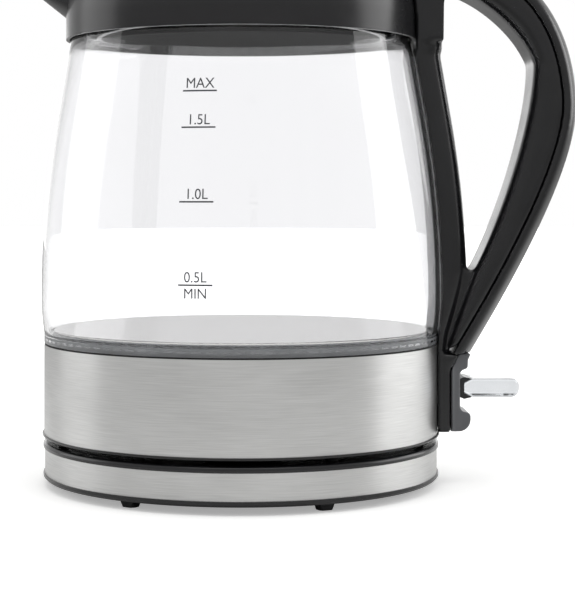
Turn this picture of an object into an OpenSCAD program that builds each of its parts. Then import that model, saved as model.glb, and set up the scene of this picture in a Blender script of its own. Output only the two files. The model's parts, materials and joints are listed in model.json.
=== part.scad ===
/* [Power base] */
// Outer radius of the base's tray and cover
base_r = 78.4; // [72:0.1:88]
// Height of the feet under the base
base_foot_h = 3; // [2:0.1:5]
// Thickness of the tray's floor and rim
tray_t = 2.1; // [1.8:0.1:3]
// Height of the steel trim ring
trim_h = 10.1; // [9:0.1:16]
// Thickness of the trim ring's sheet
trim_t = 0.5; // [0.4:0.1:1]
// Height of the cover's edge above the trim ring
edge_h = 2.3; // [2:0.1:4]
// Radius at which the cover starts to rise to the connector
cone_r = 58; // [48:0.5:62]
// How far the cover rises to the connector
cone_rise = 6.2; // [3:0.1:9]

/* [Connector] */
// Radius of the connector's collar where it leaves the cover
collar_r = 14.1; // [13.6:0.1:16]
// How much the collar narrows to its top
collar_taper = 1; // [0.5:0.1:1.4]
// Height of the collar above the cover
collar_h = 13.3; // [10:0.1:18]
// Width of the two ring slots in the collar
slot_w = 2.1; // [2:0.1:2.4]
// Depth of the ring slots
slot_depth = 15; // [12:0.1:17]
// Thickness of the ring-shaped contacts
contact_t = 0.5; // [0.4:0.05:0.6]

/* [Jug base] */
// Outer radius of the steel band
band_r = 78.1; // [72:0.1:88]
// Height of the steel band
band_h = 34.8; // [33:0.1:50]
// Thickness of the band's sheet
band_t = 0.6; // [0.5:0.1:1]
// Height of the feet under the jug
jug_foot_h = 2; // [1.5:0.1:3]
// Height of the dark rim under the band
rim_h = 1.1; // [0.8:0.1:2]
// How far the dark rim stands proud of the band
rim_proud = 0.65; // [0.2:0.05:1.2]
// Distance of the feet's centres from the outer edge
foot_inset = 7.4; // [6:0.1:10]
// Wall of the moulded covers
wall = 2; // [1.6:0.1:2.4]

/* [Glass] */
// Height of the glass above the band
glass_h = 126; // [110:1:150]
// Wall of the glass
glass_t = 3; // [2.4:0.1:3.6]
// Outer radius of the glass at its mouth
mouth_r = 66.6; // [64:0.1:70]
// How far the glass bulges past the band
belly = 1.1; // [0.6:0.1:3]
// Height of the widest point of the glass above the band
belly_rise = 18.6; // [12:0.1:30]
// Length of the straight neck below the mouth
neck_l = 38; // [20:1:60]
// Height of the straight flange at the foot of the glass
flange_h = 4.6; // [3.6:0.1:8]
// Height of the boiling plate above the band
plate_h = 5.8; // [5.2:0.1:8]

/* [Collar and lid] */
// Height of the collar above the glass
rim_rise = 22; // [18:0.5:26]
// Distance of the throat under the lid from the outside of the glass's mouth
throat_in = 10.6; // [9:0.1:12]
// How far the pouring lip reaches past the collar
lip_reach = 17; // [8:0.5:24]
// Rise of the lid's dome
lid_dome = 4; // [2:0.1:8]
// Radius of the lid's hinge pin
hinge_pin_r = 1.5; // [1.2:0.1:1.8]

/* [Handle] */
// Width of the handle
handle_w = 28; // [24:0.5:34]
// Thickness of the strap that lies along the glass
strap_t = 10.4; // [9:0.1:13]
// Depth of the outer cover of the grip
cover_depth = 6.8; // [6:0.1:9]
// Reach of the grip past the band
grip_reach = 55; // [50:0.5:65]
// Depth of the bevel along the cover's edges
bevel = 4.2; // [2:0.1:5]
// Width of the bevel across the cover
bevel_w = 9; // [6:0.1:11]

/* [Switch] */
// Length of the clear paddle outside its housing
paddle_l = 24.4; // [16:0.1:30]
// Thickness of the paddle
paddle_t = 7.3; // [5:0.1:8]
// Width of the paddle
paddle_w = 16; // [12:0.5:16]
// Radius of the pin that the lever turns on
lever_pin_r = 1.25; // [1:0.05:1.4]

/* [Hidden] */
$fn = 96;
// Facets of circles with a very large radius
wide = 1440;
black = [0.09, 0.09, 0.1];
dark = [0.2, 0.2, 0.21];
steel = [0.72, 0.71, 0.7];
brass = [0.8, 0.66, 0.36];
silicone = [0.42, 0.43, 0.45];
clear_glass = [0.86, 0.93, 0.95, 0.35];

// Clearances: between seated pieces, between pieces that pass each other, and round turning pins
seat = 0.1;
pass = 0.6;
run = 0.05;

// ---- Curves and lofts ----

// Point of a cubic Bezier curve p at t
function bezier(p, t) =
    pow(1 - t, 3) * p[0] + 3 * pow(1 - t, 2) * t * p[1] + 3 * (1 - t) * t * t * p[2] + pow(t, 3) * p[3];

// Direction of a cubic Bezier curve p at t, of length one
function heading(p, t) =
    let(d = pow(1 - t, 2) * (p[1] - p[0]) + 2 * (1 - t) * t * (p[2] - p[1]) + t * t * (p[3] - p[2]))
    d / norm(d);

// Point of a chain of two Bezier curves at t from 0 to 2, and its direction
function chain(c, t) = t <= 1 ? bezier(c[0], t) : bezier(c[1], t - 1);
function chain_heading(c, t) = t <= 1 ? heading(c[0], t) : heading(c[1], t - 1);

// Point of an arc about c with radius r at angle a
function arc_point(c, r, a) = c + r * [cos(a), sin(a)];

// Rings of points, all of one length and each anticlockwise seen from the last, skinned and closed at both ends
module loft(rings) {
    n = len(rings[0]);
    m = len(rings);
    points = [for (ring = rings) each ring];
    sides = [for (i = [0:m - 2], j = [0:n - 1])
        let(a = i * n + j, b = i * n + (j + 1) % n)
        each [[a, a + n, b], [b, a + n, b + n]]];
    first = [for (j = [0:n - 1]) j];
    last = [for (j = [n - 1:-1:0]) (m - 1) * n + j];
    polyhedron(points, concat(sides, [first, last]));
}

// Two sets of rings, one inside the other, skinned as an open tube
module tube_loft(outer, inner) {
    n = len(outer[0]);
    m = len(outer);
    k = m * n;
    points = concat([for (ring = outer) each ring], [for (ring = inner) each ring]);
    skin = [for (i = [0:m - 2], j = [0:n - 1])
        let(a = i * n + j, b = i * n + (j + 1) % n)
        each [[a, a + n, b], [b, a + n, b + n], [a + k, b + k, a + n + k], [b + k, b + n + k, a + n + k]]];
    ends = [for (j = [0:n - 1])
        let(b = (j + 1) % n, e = (m - 1) * n)
        each [[j, b, j + k], [b, b + k, j + k], [e + j, e + j + k, e + b], [e + b, e + j + k, e + b + k]]];
    polyhedron(points, concat(skin, ends));
}

// A side view drawn in x and z, given a width along y
module side_plate(width) {
    rotate([90, 0, 0])
        linear_extrude(width, center = true)
            children();
}

// A round bar along y, centred
module bar_y(r, l, fn = 48) {
    rotate([90, 0, 0])
        cylinder(r = r, h = l, center = true, $fn = fn);
}

// Copies round the z axis
module ring_of(angles) {
    for (a = angles)
        rotate([0, 0, a])
            children();
}

// ---- Levels and radii of the power base ----

tray_z = base_foot_h;
trim_z = tray_z + tray_t;
edge_z = trim_z + trim_h;
base_top = edge_z + edge_h;
trim_inset = 0.6;
trim_r = base_r - trim_inset;
skirt_r = trim_r - trim_t - seat;
edge_round = 1.4;
collar_z = base_top + cone_rise;
collar_top = collar_z + collar_h;

// The flare from the flat ring up to the connector is one arc, which leaves the ring at a slight angle
cone_w = cone_r - collar_r;
flare_turn = atan(0.62 * cone_rise / cone_w);
flare_r = (cone_w * cone_w + cone_rise * cone_rise)
    / (2 * (cone_rise * cos(flare_turn) - cone_w * sin(flare_turn)));
flare_centre = [cone_r + flare_r * sin(flare_turn), base_top + flare_r * cos(flare_turn)];

// Section of a flared plate from radius a out to the flat ring, with its faces lifted by low and high
module flare_section(a, low, high) {
    difference() {
        translate([a, trim_z])
            square([cone_r - a, collar_top]);
        translate(flare_centre + [0, high])
            circle(r = flare_r, $fn = wide);
        difference() {
            translate([a - 1, trim_z - 1])
                square([cone_w + 2, collar_top + 2]);
            translate(flare_centre + [0, low])
                circle(r = flare_r, $fn = wide);
        }
    }
}

// Radii across the connector: outer wall, slot, land, slot, hub, centre bore
collar_top_r = collar_r - collar_taper;
collar_wall = 1.2;
land_w = 1.9;
hub_w = 1.4;
slot1_r = collar_top_r - collar_wall;
land_r = slot1_r - slot_w;
slot2_r = land_r - land_w;
hub_r = slot2_r - slot_w;
bore_r = hub_r - hub_w;
slot_z = collar_top - slot_depth;
slot_floor_t = 2;

// Feet and screws
foot_turn = -4.7;
jug_foot_turn = -1.7;
foot_ring_r = min(base_r, band_r) - foot_inset;
foot_angles = [0:60:300];
boss_angles = [30:120:270];
boss_r = cone_r - 8;
screw_r = 1.4;
screw_head_r = 3;
screw_head_h = 1.8;
screw_clear = 0.2;

// ---- The power base ----

gland_r = 5.6;
gland_bore_r = 3.6;
gland_z = trim_z + trim_h / 2;
gland_l = 15;
gland_lip = 1.2;
tray_recess_h = 0.8;

// Where the gland passes through the rear of the trim, skirt and tray
module gland_gap(extra) {
    translate([0, base_r - gland_l / 2, gland_z])
        rotate([90, 0, 0])
            cylinder(r = gland_r + extra, h = gland_l + 8, center = true, $fn = 48);
}

module base_tray() {
    upstand_r = skirt_r - wall - seat;
    upstand_h = 4;
    recess_r = boss_r - 12;
    recess_h = tray_recess_h;
    boss_h = 4;
    color(black)
        difference() {
            union() {
                rotate_extrude()
                    polygon([[0, tray_z + recess_h], [recess_r - recess_h, tray_z + recess_h],
                        [recess_r, tray_z],
                        [base_r - 0.9, tray_z], [base_r, tray_z + 0.9], [base_r, trim_z],
                        [upstand_r, trim_z], [upstand_r, trim_z + upstand_h],
                        [upstand_r - 1.4, trim_z + upstand_h], [upstand_r - 1.4, trim_z], [0, trim_z]]);
                ring_of(boss_angles)
                    translate([boss_r, 0, tray_z + recess_h])
                        cylinder(r = screw_head_r + wall, h = tray_t - recess_h + boss_h, $fn = 32);
            }
            ring_of(boss_angles)
                translate([boss_r, 0, tray_z - 1]) {
                    cylinder(r = screw_head_r + screw_clear, h = 1 + tray_t, $fn = 32);
                    cylinder(r = screw_r + screw_clear, h = 10, $fn = 32);
                }
            gland_gap(seat);
            ring_of([0:45:315])
                translate([recess_r - 7, 0, tray_z - 1])
                    cylinder(r = 1.2, h = tray_t + 2, $fn = 24);
        }
}

// Six feet round the edge, and a pad under the connector that takes the push when the jug is set down
module base_feet() {
    foot_w = 5.6;
    foot_l = 5;
    color(dark)
        union() {
            ring_of([for (a = foot_angles) a + foot_turn])
                translate([foot_ring_r, 0, 0])
                    intersection() {
                        translate([-foot_l / 2, -foot_w / 2, 0])
                            cube([foot_l, foot_w, base_foot_h]);
                        translate([0, 0, -0.01])
                            cylinder(r1 = foot_w / 2 + 0.2, r2 = foot_w / 2 + 1.4,
                                h = base_foot_h + 0.02, $fn = 32);
                    }
            cylinder(r1 = collar_r - 5, r2 = collar_r - 4.2, h = base_foot_h + tray_recess_h, $fn = 64);
        }
}

module base_trim_ring() {
    color(steel)
        difference() {
            rotate_extrude()
                polygon([[trim_r - trim_t, trim_z], [trim_r, trim_z], [trim_r, edge_z],
                    [trim_r - trim_t, edge_z]]);
            gland_gap(seat);
        }
}

module base_cover() {
    land_groove_r = base_r - 4.9;
    groove = 0.35;
    top = concat([[cone_r - 1, base_top - 0.3], [cone_r, base_top],
        [land_groove_r - groove, base_top], [land_groove_r, base_top - groove],
        [land_groove_r + groove, base_top]],
        [for (a = [90:-15:0]) arc_point([base_r - edge_round, base_top - edge_round], edge_round, a)]);
    under = [[base_r, edge_z], [skirt_r, edge_z], [skirt_r, trim_z], [skirt_r - wall, trim_z],
        [skirt_r - wall, base_top - wall], [cone_r, base_top - wall], [cone_r - 1, base_top - wall + 0.3]];
    boss_z = trim_z + 4;
    color(black)
        difference() {
            union() {
                rotate_extrude()
                    union() {
                        polygon(concat(top, under));
                        flare_section(collar_r + seat, -wall, 0);
                    }
                ring_of(boss_angles)
                    translate([boss_r, 0, boss_z])
                        cylinder(r = screw_head_r, h = base_top - wall / 2 - boss_z, $fn = 32);
            }
            gland_gap(seat);
            ring_of(boss_angles)
                translate([boss_r, 0, boss_z - 1])
                    cylinder(r = screw_r + run, h = base_top - wall - boss_z, $fn = 32);
        }
}

module base_screws() {
    color(steel)
        ring_of(boss_angles)
            translate([boss_r, 0, trim_z])
                screw(base_top - wall - trim_z - 2);
}

// A round-headed screw that stands on z = 0, its head below
module screw(length) {
    difference() {
        union() {
            translate([0, 0, -screw_head_h])
                cylinder(r = screw_head_r, h = screw_head_h, $fn = 32);
            cylinder(r = screw_r, h = length, $fn = 24);
        }
        for (a = [0, 90])
            rotate([0, 0, a])
                translate([-screw_head_r * 0.6, -0.4, -screw_head_h - 1])
                    cube([screw_head_r * 1.2, 0.8, 1.9]);
    }
}

module connector_housing() {
    lip = 0.5;
    land_drop = 1.6;
    hub_drop = 0.9;
    color(black)
        rotate_extrude()
            polygon([[0, slot_z - slot_floor_t], [collar_r - wall, slot_z - slot_floor_t],
                [collar_r - wall, trim_z], [collar_r, trim_z], [collar_r, collar_z],
                [collar_top_r, collar_top - lip], [collar_top_r - lip, collar_top],
                [slot1_r + 0.2, collar_top], [slot1_r, collar_top - 1.4], [slot1_r, slot_z], [land_r, slot_z],
                [land_r, collar_top - land_drop - lip], [land_r - lip, collar_top - land_drop],
                [slot2_r + lip, collar_top - land_drop], [slot2_r, collar_top - land_drop - lip],
                [slot2_r, slot_z], [hub_r, slot_z], [hub_r, collar_top - hub_drop - lip],
                [hub_r - lip, collar_top - hub_drop], [bore_r, collar_top - hub_drop],
                [bore_r, slot_z], [0, slot_z]]);
}

// A ring-shaped contact with a rounded top edge
module contact_ring(r, t, z0, z1) {
    color(brass)
        rotate_extrude()
            polygon([[r - t, z0], [r, z0], [r, z1 - t / 3], [r - t / 3, z1], [r - t + t / 3, z1],
                [r - t, z1 - t / 3]]);
}

module contact_ring_outer() {
    contact_ring(slot1_r - seat / 2, contact_t, slot_z, collar_top - 2.4);
}

module contact_ring_inner() {
    contact_ring(slot2_r - seat / 2, contact_t, slot_z, collar_top - 2.4);
}

module cord_gland() {
    color(black)
        translate([0, base_r, gland_z])
            rotate([90, 0, 0])
                difference() {
                    union() {
                        translate([0, 0, -gland_lip])
                            cylinder(r = gland_r, h = gland_l + gland_lip, $fn = 48);
                        intersection() {
                            translate([0, 0, gland_l - wall])
                                cylinder(r = gland_r + 2.4, h = wall, $fn = 48);
                            translate([-gland_r - 3, trim_z + seat - gland_z, 0])
                                cube([2 * gland_r + 6, base_top - wall - trim_z - 2 * seat, gland_l]);
                        }
                    }
                    translate([0, 0, -gland_lip - 1])
                        cylinder(r = gland_bore_r, h = gland_l + gland_lip + 2, $fn = 48);
                }
}

module cord_clamp() {
    clamp_l = 8;
    post_x = 9;
    clamp_y = base_r - gland_l - clamp_l;
    color(dark)
        translate([0, clamp_y, trim_z])
            difference() {
                union() {
                    for (s = [-1, 1])
                        translate([s * post_x - 2.5, -clamp_l / 2, 0])
                            cube([5, clamp_l, gland_z - trim_z]);
                    translate([-post_x - 2.5, -clamp_l / 2, gland_z - trim_z])
                        cube([2 * post_x + 5, clamp_l, wall]);
                }
                rotate([90, 0, 0])
                    translate([0, gland_z - trim_z - gland_bore_r + 1.4, 0])
                        cylinder(r = gland_bore_r, h = clamp_l + 2, center = true, $fn = 32);
            }
}

// The sleeve in the middle of the connector, round which the jug turns
module earth_sleeve() {
    sleeve_r = bore_r - run;
    sleeve_t = 1.2;
    sleeve_top = collar_top - 0.2;
    color(steel)
        rotate_extrude()
            polygon([[0, slot_z], [sleeve_r, slot_z], [sleeve_r, sleeve_top - 0.5],
                [sleeve_r - 0.4, sleeve_top],
                [sleeve_r - sleeve_t + 0.4, sleeve_top], [sleeve_r - sleeve_t, sleeve_top - 0.5],
                [sleeve_r - sleeve_t, slot_z + 1], [0, slot_z + 1]]);
}

// ---- The jug's base ----

jug_z = base_top + jug_foot_h;
band_z = jug_z + rim_h;
band_top = band_z + band_h;
band_in = band_r - band_t;
socket_in = collar_r + pass;
socket_out = socket_in + wall;
socket_z = collar_z + 1.5;
socket_top = collar_top + pass;
clamp_z = band_top - 5;
clamp_t = 3;
plate_z = band_top + plate_h;
plate_t = 0.8;
skirt_in = band_r - glass_t - 5.4;
pillar_r = 4;
pillar_ring_r = skirt_in - 7;

module jug_bottom() {
    upstand_h = 5;
    upstand_t = 1.6;
    hole = socket_out + seat;
    under = [[cone_r - 1, jug_z + 0.5], [cone_r, jug_z], [band_r + rim_proud - 0.5, jug_z],
        [band_r + rim_proud, jug_z + 0.4]];
    over = [[band_r + rim_proud, band_z], [band_in - seat, band_z], [band_in - seat, band_z + upstand_h],
        [band_in - seat - upstand_t, band_z + upstand_h], [band_in - seat - upstand_t, jug_z + wall],
        [cone_r, jug_z + wall], [cone_r - 1, jug_z + wall - 0.5]];
    color(black)
        difference() {
            union() {
                rotate_extrude()
                    union() {
                        polygon(concat(under, over));
                        flare_section(hole, jug_foot_h, jug_foot_h + wall);
                    }
                ring_of(boss_angles)
                    translate([pillar_ring_r, 0, jug_z + wall / 2])
                        cylinder(r = pillar_r, h = clamp_z - jug_z - wall / 2, $fn = 32);
            }
            ring_of(boss_angles)
                translate([pillar_ring_r, 0, jug_z - 1]) {
                    cylinder(r = screw_head_r + screw_clear, h = 1 + wall + screw_head_h, $fn = 32);
                    cylinder(r = screw_r + screw_clear, h = band_h, $fn = 32);
                }
        }
}

module jug_feet() {
    pad_r = 2.4;
    color(dark)
        ring_of([for (a = foot_angles) a + jug_foot_turn])
            translate([foot_ring_r, 0, base_top])
                cylinder(r1 = pad_r - 0.6, r2 = pad_r, h = jug_foot_h, $fn = 32);
}

module jug_screws() {
    color(steel)
        ring_of(boss_angles)
            translate([pillar_ring_r, 0, jug_z + wall + screw_head_h])
                screw(clamp_z + clamp_t - jug_z - wall - screw_head_h - 0.5);
}

module steel_band() {
    lip = 1.4;
    color(steel)
        difference() {
            rotate_extrude()
                polygon([[band_in, band_z], [band_r, band_z], [band_r, band_top], [band_in - lip, band_top],
                    [band_in - lip, band_top - band_t], [band_in, band_top - band_t]]);
            translate([band_r - 4, -band_slot_w / 2, lever_z - band_slot_h / 2])
                cube([8, band_slot_w, band_slot_h]);
            for (z = handle_screw_z)
                translate([band_r - 4, 0, z])
                    rotate([0, 90, 0])
                        cylinder(r = screw_r + screw_clear, h = 8, $fn = 32);
        }
}

// Carries the seal and holds the boiling plate's skirt against it
module clamp_ring() {
    inner = pillar_ring_r - pillar_r - 1;
    color(dark)
        difference() {
            rotate_extrude()
                polygon([[inner, clamp_z], [band_in - seat, clamp_z],
                    [band_in - seat, band_top - band_t - seat],
                    [band_in - 1.6, band_top - band_t - seat], [band_in - 1.6, band_top - seat],
                    [skirt_in + plate_t + seat, band_top - seat],
                    [skirt_in + plate_t + seat, clamp_z + clamp_t],
                    [inner, clamp_z + clamp_t]]);
            ring_of(boss_angles)
                translate([pillar_ring_r, 0, clamp_z - 1])
                    cylinder(r = screw_r + run, h = clamp_t + 2, $fn = 32);
        }
}

// The seal's outer face is toothed, and the teeth press on the inside of the glass
module plate_seal() {
    teeth = 90;
    tooth = 0.8;
    outer = band_r - glass_t - 0.3;
    inner = skirt_in + plate_t + seat;
    seal_z = band_top + 0.4;
    seal_h = plate_h - plate_t - 0.4 - 1.2;
    color(silicone)
        union() {
            translate([0, 0, seal_z])
                linear_extrude(seal_h)
                    difference() {
                        polygon([for (i = [0:teeth - 1], s = [0:3])
                            let(a = (i + s / 4 + 0.125) * 360 / teeth)
                            (s < 2 ? outer : outer - tooth) * [cos(a), sin(a)]]);
                        circle(r = inner);
                    }
            rotate_extrude()
                polygon([[inner, band_top - seat], [outer - tooth, band_top - seat],
                    [outer - tooth, plate_z - plate_t],
                    [inner, plate_z - plate_t]]);
        }
}

// A dark gasket between the band and the foot of the glass
module glass_gasket() {
    color(black)
        rotate_extrude()
            polygon([[band_r - glass_t + 0.2, band_top], [band_r - 0.25, band_top],
                [band_r - 0.25, band_top + 0.6],
                [band_r - glass_t + 0.2, band_top + 0.6]]);
}

module boiling_plate() {
    rim = band_r - glass_t - 0.9;
    color(steel)
        rotate_extrude()
            polygon([[0, plate_z - plate_t], [skirt_in, plate_z - plate_t], [skirt_in, clamp_z + clamp_t],
                [skirt_in + plate_t, clamp_z + clamp_t], [skirt_in + plate_t, plate_z - plate_t],
                [rim, plate_z - plate_t], [rim, plate_z - 0.3], [rim - 0.3, plate_z], [0, plate_z]]);
}

spreader_t = 2.5;
spreader_r = skirt_in - 8;
spreader_z = plate_z - plate_t - spreader_t;

module heat_spreader() {
    color([0.8, 0.8, 0.82])
        translate([0, 0, spreader_z])
            cylinder(r = spreader_r, h = spreader_t);
}

element_r = spreader_r - 15.7;
element_tube_r = 3.2;
element_open = 40;

// A sheathed element, bent to an open ring, with its two cold ends turned down
module heating_element() {
    z = spreader_z - element_tube_r;
    color([0.55, 0.54, 0.52])
        union() {
            rotate([0, 0, element_open / 2])
                rotate_extrude(angle = 360 - element_open)
                    translate([element_r, z])
                        circle(r = element_tube_r, $fn = 24);
            for (s = [-1, 1])
                rotate([0, 0, s * element_open / 2])
                    translate([element_r, 0, z - 11])
                        cylinder(r = element_tube_r, h = 11, $fn = 24);
        }
}

module coupler_socket() {
    color(dark)
        rotate_extrude()
            polygon([[socket_in, socket_z], [socket_out, socket_z], [socket_out, socket_top + wall + 2],
                [0, socket_top + wall + 2], [0, socket_top], [socket_in, socket_top]]);
}

ring_reach = slot_depth - 3.5;

module coupler_ring_outer() {
    contact_down(land_r + slot_w / 2 - 0.05, contact_t + 0.1);
}

module coupler_ring_inner() {
    contact_down(hub_r + slot_w / 2 - 0.05, contact_t + 0.1);
}

// A ring that hangs from the socket's ceiling into the base's slot
module contact_down(r, t) {
    z0 = collar_top - ring_reach;
    color(brass)
        rotate_extrude()
            polygon([[r - t, z0 + t / 2], [r - t / 2, z0], [r, z0 + t / 2], [r, socket_top],
                [r - t, socket_top]]);
}

module coupler_earth_pin() {
    pin_r = bore_r - run - 1.2 - 0.5;
    z0 = collar_top - ring_reach;
    color(brass)
        rotate_extrude()
            polygon([[0, z0], [pin_r - 1, z0], [pin_r, z0 + 1], [pin_r, socket_top], [0, socket_top]]);
}

control_z = socket_top + wall + 2;
control_top = spreader_z - 3.8;
control_w = 44;
control_l = 40;
tower_r = 10.5;
tower_x = 11;

module thermostat_control() {
    corner = 4;
    color([0.16, 0.16, 0.17])
        union() {
            translate([0, 0, control_z])
                linear_extrude(control_top - control_z)
                    difference() {
                        union() {
                            square([control_w, control_l - 2 * corner], center = true);
                            square([control_w - 2 * corner, control_l], center = true);
                            for (x = [-1, 1], y = [-1, 1])
                                translate([x * (control_w / 2 - corner), y * (control_l / 2 - corner)])
                                    circle(r = corner, $fn = 32);
                        }
                        for (y = [-1, 1])
                            translate([0, y * (control_l / 2)])
                                square([10, 6], center = true);
                    }
            for (s = [-1, 1])
                translate([s * tower_x, 0, control_top])
                    cylinder(r = tower_r, h = spreader_z - 0.6 - control_top, $fn = 48);
        }
}

module bimetal_discs() {
    color(brass)
        for (s = [-1, 1])
            translate([s * tower_x, 0, spreader_z - 0.5])
                cylinder(r = tower_r - 1, h = 0.4, $fn = 48);
}

// ---- The glass ----

glass_top = band_top + glass_h;
glass_foot = band_top + 0.6;
flange_top = band_top + flange_h;
belly_z = band_top + belly_rise;
belly_r = band_r + belly;
// The glass above its flange: a small arc up to the widest point, a large one, and a straight neck tangent to it
low_r = (pow(belly_rise - flange_h, 2) + belly * belly) / (2 * belly);
neck_rise = glass_top - belly_z;
neck_fall = belly_r - mouth_r;
tangent_l = (neck_rise * neck_rise + neck_fall * neck_fall - neck_l * neck_l) / (2 * (neck_rise + neck_l));
neck_turn = asin(neck_fall / (tangent_l + neck_l));
bulge_r = tangent_l / tan(neck_turn / 2);
neck_z = belly_z + bulge_r * sin(neck_turn);

// Outer radius of the glass at height z
function glass_r(z) = z < flange_top ? band_r
    : z < belly_z ? belly_r - low_r + sqrt(low_r * low_r - pow(z - belly_z, 2))
    : z < neck_z ? belly_r - bulge_r + sqrt(bulge_r * bulge_r - pow(z - belly_z, 2))
    : mouth_r + (glass_top - z) * tan(neck_turn);

// Half of the glass's section, filled to the axis, at depth d inside its outer surface
module glass_section(d) {
    low_h = belly_rise - flange_h + 2;
    top_h = (bulge_r - d) * sin(neck_turn);
    union() {
        translate([0, glass_foot])
            square([band_r - d, belly_z - glass_foot - 1]);
        intersection() {
            translate([belly_r - low_r, belly_z])
                circle(r = low_r - d, $fn = 360);
            translate([0, belly_z - low_h])
                square([belly_r, low_h]);
        }
        intersection() {
            translate([belly_r - bulge_r, belly_z])
                circle(r = bulge_r - d, $fn = wide);
            translate([0, belly_z])
                square([belly_r, top_h]);
        }
        polygon([[0, belly_z + top_h], [belly_r - bulge_r + (bulge_r - d) * cos(neck_turn), belly_z + top_h],
            [mouth_r - d / cos(neck_turn), glass_top], [0, glass_top]]);
    }
}

module glass_jug() {
    lip = 0.5;
    mouth_in = mouth_r - glass_t / cos(neck_turn);
    color(clear_glass)
        rotate_extrude()
            union() {
                difference() {
                    glass_section(0);
                    glass_section(glass_t);
                }
                polygon([[mouth_in, glass_top], [mouth_r, glass_top], [mouth_r - lip, glass_top + lip],
                    [mouth_in + lip, glass_top + lip]]);
            }
}

// ---- The handle: a strap along the glass, an outer grip and its cover ----

seam_z = band_top - 3.8;
strap_bottom = band_z + 0.4;
half_w = handle_w / 2;
notch = [band_r + 12.6, band_top + 30.9];
reach = band_r + grip_reach;
top_z = glass_top + rim_rise;

// Outer edge of the grip, from below the seam, past its widest point and over to the lid
outer_edge = [
    [[band_r + 12.8, seam_z], [band_r + 31.9, seam_z + 31.4], [reach + 2.9, band_top + 74.6],
     [reach, band_top + 98.6]],
    [[reach, band_top + 98.6], [reach - 2.1, band_top + 126.6], [reach - 17, top_z + 11.6],
     [mouth_r - 6.1, top_z + 12.1]]];
// Inner edge of the grip, from the notch over to the head
inner_edge = [
    [[band_r + 14.4, band_top + 30.1], [band_r + 23.9, band_top + 48.6], [reach - 18.1, band_top + 85.6],
     [reach - 17.7, band_top + 109.6]],
    [[reach - 17.7, band_top + 109.6], [reach - 17.5, band_top + 114.6], [reach - 30, top_z - 15.4],
     [mouth_r + 17.4, top_z - 8.4]]];
// Both parts of the grip are built in the same steps along the outer edge, so that their faces match
edge_steps = 24;
notch_step = 6;
notch_t = notch_step / edge_steps;

// Point at depth d inside the outer edge
function edge_point(t, d) =
    let(h = chain_heading(outer_edge, t))
    chain(outer_edge, t) - d * [h[1], -h[0]];

// Side view of the web that joins the strap and the grip below the notch
module web_side() {
    notch_r = 2;
    polygon(concat(
        [[band_r + 1.5, seam_z - 1], [band_r + 2.7, seam_z - 1]],
        [for (i = [0:notch_step]) edge_point(i / edge_steps, cover_depth + 2)],
        [notch + [2.9, -1.2]],
        [for (a = [-40:-20:-160]) arc_point(notch, notch_r, a)],
        [notch + [-4, 1], [band_r + 1.5, notch[1] - 2]]));
}

groove_w = 7.4;
groove_d = 5.8;
strap_gap = 0.2;
strap_root_t = 2.4;
collar_skirt_h = 6;
collar_skirt_z = glass_top - collar_skirt_h;
collar_in = mouth_r + 0.3;
collar_in_low = collar_in + 0.2 + collar_skirt_h * tan(neck_turn);
collar_skirt_r = collar_in_low + 1.4;

// Thickness of the strap at height z: it thins out below the notch
function strap_depth(z) =
    let(u = min(1, max(0, (z - seam_z) / (notch[1] - 4 - seam_z))))
    strap_root_t + (strap_t - strap_root_t) * pow(u, 1.4);

// One level of the strap: its inner face follows radius r and has the steam tube's groove.
// Its foot is a little narrower and sits inside the block at the band.
function strap_ring(r, z) =
    let(w = z < seam_z ? half_w - 0.5 : half_w, side = sqrt(r * r - w * w), g = groove_w / 2,
        t = strap_depth(z), d = min(groove_d, t - 1))
    concat(
        [for (y = [w, w * 0.64, g]) [sqrt(r * r - y * y), y, z]],
        [[r + d, g, z], [r + d, -g, z]],
        [for (y = [-g, -w * 0.64, -w]) [sqrt(r * r - y * y), y, z]],
        [for (a = [170, 160, 148, 134, 120, 105, 90, 75, 60, 46, 32, 20, 10])
            [side + (r + t - side) * pow(sin(a), 0.62), w * sign(cos(a)) * pow(abs(cos(a)), 0.62), z]]);

// Radius and height of the strap's seat, from the band up the glass and over the collar's skirt
strap_steps = 20;
seat_line = concat(
    [[band_r + 3 * seat, seam_z - 2], [band_r + seat, seam_z + 1], [band_r + seat, flange_top - 0.5]],
    [for (i = [0:strap_steps])
        let(z = flange_top + 2 + (collar_skirt_z - flange_top - 8) * i / strap_steps)
        [glass_r(z) + strap_gap, z]],
    [[collar_skirt_r + seat, collar_skirt_z - 4], [collar_skirt_r + seat, collar_skirt_z + 12]]);

module strap() {
    loft([for (p = seat_line) strap_ring(p[0], p[1])]);
}

// One cross-section of the inner part of the grip, from its inner edge to the cover, at s along the outer edge.
// Below the notch the inner edge runs straight down to the strap.
function grip_ring(s) =
    let(foot = [band_r + 3.4, seam_z + 2],
        start = inner_edge[0][0],
        a = s < notch_t ? foot + s / notch_t * (start - foot)
            : chain(inner_edge, s < 1 ? (s - notch_t) / (1 - notch_t) : s),
        b = edge_point(s, cover_depth + seat),
        l = norm(b - a), u = (b - a) / l, r = min(5, l * 0.45), w = half_w)
    [for (q = concat(
        [[l, w]],
        [for (v = [0:15:90]) [r - r * sin(v), w - r + r * cos(v)]],
        [for (v = [90:-15:0]) [r - r * sin(v), -w + r - r * cos(v)]],
        [[l, -w]]))
        [a[0] + u[0] * q[0], q[1], a[1] + u[1] * q[0]]];

module grip() {
    loft([for (i = [0:2 * edge_steps]) grip_ring(i / edge_steps)]);
}

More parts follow.
